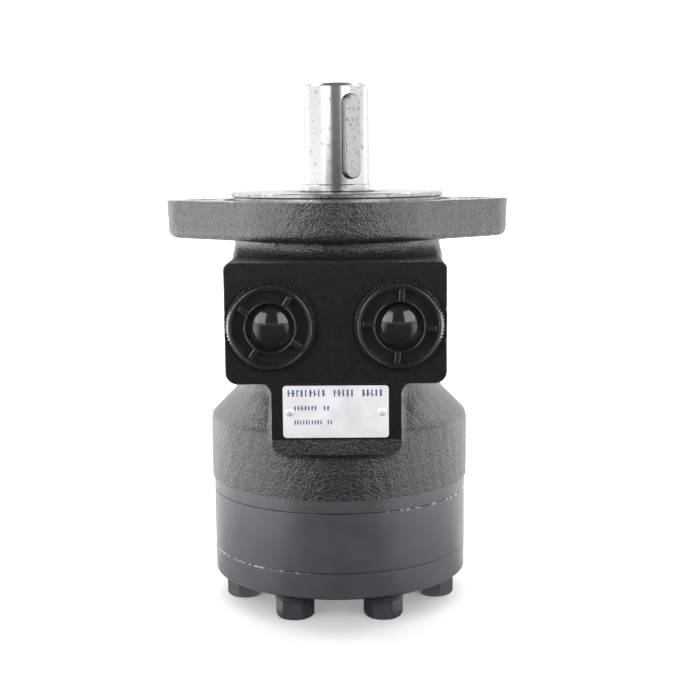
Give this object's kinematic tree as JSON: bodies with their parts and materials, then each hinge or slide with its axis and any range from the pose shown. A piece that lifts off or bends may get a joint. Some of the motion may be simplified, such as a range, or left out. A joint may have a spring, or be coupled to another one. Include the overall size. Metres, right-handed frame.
{
  "type": "hydraulic motor",
  "caption": "Orbit hydraulic motor with an oval two-bolt flange, round spigot, keyed output shaft, two side ports closed by shipping plugs, and a bolted gear stack.",
  "frame": {"origin": "centre of the output shaft's end face, on the shaft's axis; the flange's machined mounting face lies at z = -0.044", "axes": "+Z out along the output shaft, -Y out of the two ports, X through the two flange bolt holes"},
  "size_m": [0.1324, 0.1077, 0.2008],
  "materials": {
    "cast_housing": "black paint over a sand-cast skin, satin",
    "painted_steel": "satin black-grey paint",
    "black_fastener": "black oxide, satin",
    "bright_steel": "turned and ground bright steel",
    "seal_case": "pressed steel case with a rubber lip",
    "black_rubber": "matt",
    "plate_metal": "satin silver with blue print bars",
    "rivet_metal": "bright domed",
    "plug_plastic": "glossy moulded",
    "seat_brass": "turned",
    "ground_steel": "hardened and ground, oiled"
  },
  "bodies": {
    "motor_body": {"housing": "cast_housing", "spacer_plate": "painted_steel", "stator_ring": "painted_steel", "end_cover": "painted_steel", "cover_screw_1": "black_fastener", "cover_screw_2": "black_fastener", "cover_screw_3": "black_fastener", "cover_screw_4": "black_fastener", "cover_screw_5": "black_fastener", "cover_screw_6": "black_fastener", "cover_screw_7": "black_fastener", "screw_washer_1": "black_fastener", "screw_washer_2": "black_fastener", "screw_washer_3": "black_fastener", "screw_washer_4": "black_fastener", "screw_washer_5": "black_fastener", "screw_washer_6": "black_fastener", "screw_washer_7": "black_fastener", "dust_seal": "seal_case", "shaft_seal": "black_rubber", "seal_backup_ring": "bright_steel", "thrust_race": "ground_steel", "check_seat_1": "seat_brass", "check_seat_2": "seat_brass", "housing_o_ring": "black_rubber", "spacer_o_ring": "black_rubber", "cover_o_ring": "black_rubber", "name_plate": "plate_metal", "plate_rivet_left": "rivet_metal", "plate_rivet_right": "rivet_metal", "drain_plug": "black_fastener", "drain_plug_seal": "black_rubber"},
    "output_shaft": {"output_shaft": "bright_steel", "shaft_key": "bright_steel"},
    "thrust_bearing": {"thrust_bearing": "ground_steel"},
    "drive_spacer": {"drive_spacer": "ground_steel"},
    "rotor": {"rotor": "ground_steel"},
    "cardan_shaft": {"cardan_shaft": "ground_steel"},
    "roller_1": {"roller_1": "ground_steel"},
    "roller_2": {"roller_2": "ground_steel"},
    "roller_3": {"roller_3": "ground_steel"},
    "roller_4": {"roller_4": "ground_steel"},
    "roller_5": {"roller_5": "ground_steel"},
    "roller_6": {"roller_6": "ground_steel"},
    "roller_7": {"roller_7": "ground_steel"},
    "port_plug_left": {"port_plug_left": "plug_plastic"},
    "port_plug_right": {"port_plug_right": "plug_plastic"},
    "check_ball_1": {"check_ball_1": "ground_steel"},
    "check_ball_2": {"check_ball_2": "ground_steel"}
  },
  "joints": [
    {"name": "shaft_spin", "type": "hinge", "parent": "motor_body", "child": "output_shaft", "pos_m": [0, 0, -0.024], "axis": [0, 0, 1], "continuous": true},
    {"name": "bearing_spin", "type": "hinge", "parent": "motor_body", "child": "thrust_bearing", "pos_m": [0, 0, -0.06433], "axis": [0, 0, 1], "continuous": true},
    {"name": "rotor_orbit", "type": "hinge", "parent": "motor_body", "child": "drive_spacer", "pos_m": [0, 0, -0.1687], "axis": [0, 0, 1], "continuous": true},
    {"name": "rotor_spin", "type": "hinge", "parent": "drive_spacer", "child": "rotor", "pos_m": [0, -0.0027, -0.1687], "axis": [0, 0, 1], "continuous": true},
    {"name": "cardan_spin", "type": "hinge", "parent": "drive_spacer", "child": "cardan_shaft", "pos_m": [0, 0, -0.088], "axis": [0, 0.0339, 0.9994], "continuous": true},
    {"name": "roller_1_spin", "type": "hinge", "parent": "motor_body", "child": "roller_1", "pos_m": [0, -0.031, -0.1687], "axis": [0, 0, 1], "continuous": true},
    {"name": "roller_2_spin", "type": "hinge", "parent": "motor_body", "child": "roller_2", "pos_m": [0.02424, -0.01933, -0.1687], "axis": [0, 0, 1], "continuous": true},
    {"name": "roller_3_spin", "type": "hinge", "parent": "motor_body", "child": "roller_3", "pos_m": [0.03022, 0.0069, -0.1687], "axis": [0, 0, 1], "continuous": true},
    {"name": "roller_4_spin", "type": "hinge", "parent": "motor_body", "child": "roller_4", "pos_m": [0.01345, 0.02793, -0.1687], "axis": [0, 0, 1], "continuous": true},
    {"name": "roller_5_spin", "type": "hinge", "parent": "motor_body", "child": "roller_5", "pos_m": [-0.01345, 0.02793, -0.1687], "axis": [0, 0, 1], "continuous": true},
    {"name": "roller_6_spin", "type": "hinge", "parent": "motor_body", "child": "roller_6", "pos_m": [-0.03022, 0.0069, -0.1687], "axis": [0, 0, 1], "continuous": true},
    {"name": "roller_7_spin", "type": "hinge", "parent": "motor_body", "child": "roller_7", "pos_m": [-0.02424, -0.01933, -0.1687], "axis": [0, 0, 1], "continuous": true},
    {"name": "plug_left_slide", "type": "slide", "parent": "motor_body", "child": "port_plug_left", "axis": [0, -1, 0], "range_m": [0, 0.03]},
    {"name": "plug_right_slide", "type": "slide", "parent": "motor_body", "child": "port_plug_right", "axis": [0, -1, 0], "range_m": [0, 0.03]},
    {"name": "check_ball_1_lift", "type": "slide", "parent": "motor_body", "child": "check_ball_1", "axis": [0, 0, 1], "range_m": [0, 0.0015]},
    {"name": "check_ball_2_lift", "type": "slide", "parent": "motor_body", "child": "check_ball_2", "axis": [0, 0, 1], "range_m": [0, 0.0015]}
  ],
  "couplings": [
    {"joint": "bearing_spin", "follows": "shaft_spin", "ratio": 0.5},
    {"joint": "rotor_orbit", "follows": "shaft_spin", "ratio": -6},
    {"joint": "rotor_spin", "follows": "shaft_spin", "ratio": 7},
    {"joint": "cardan_spin", "follows": "shaft_spin", "ratio": 7}
  ]
}
